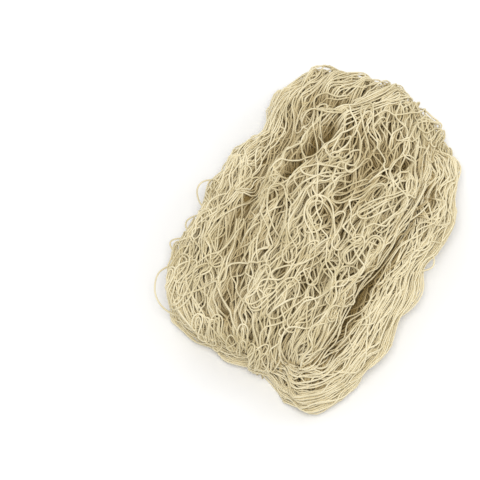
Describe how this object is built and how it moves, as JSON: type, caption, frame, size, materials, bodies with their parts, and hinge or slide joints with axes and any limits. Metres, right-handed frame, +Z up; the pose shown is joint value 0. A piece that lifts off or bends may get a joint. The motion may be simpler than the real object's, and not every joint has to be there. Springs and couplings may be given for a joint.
{
  "type": "decorative fishing net",
  "caption": "Knotted net of cream cotton twine, gathered into a loose flattened bundle with a rolled rim and stray loops at its edge.",
  "frame": {"origin": "on the flat underside, near the middle of the bundle's outline, at the surface it lies on", "axes": "+Z up from the surface it lies on, +Y along the bundle towards its broad end, +X across it towards its rolled rim"},
  "size_m": [0.1905, 0.2632, 0.0704],
  "materials": {
    "cotton_twine": "matt, undyed twisted cotton twine"
  },
  "bodies": {
    "root": {"net": "cotton_twine"}
  },
  "joints": []
}
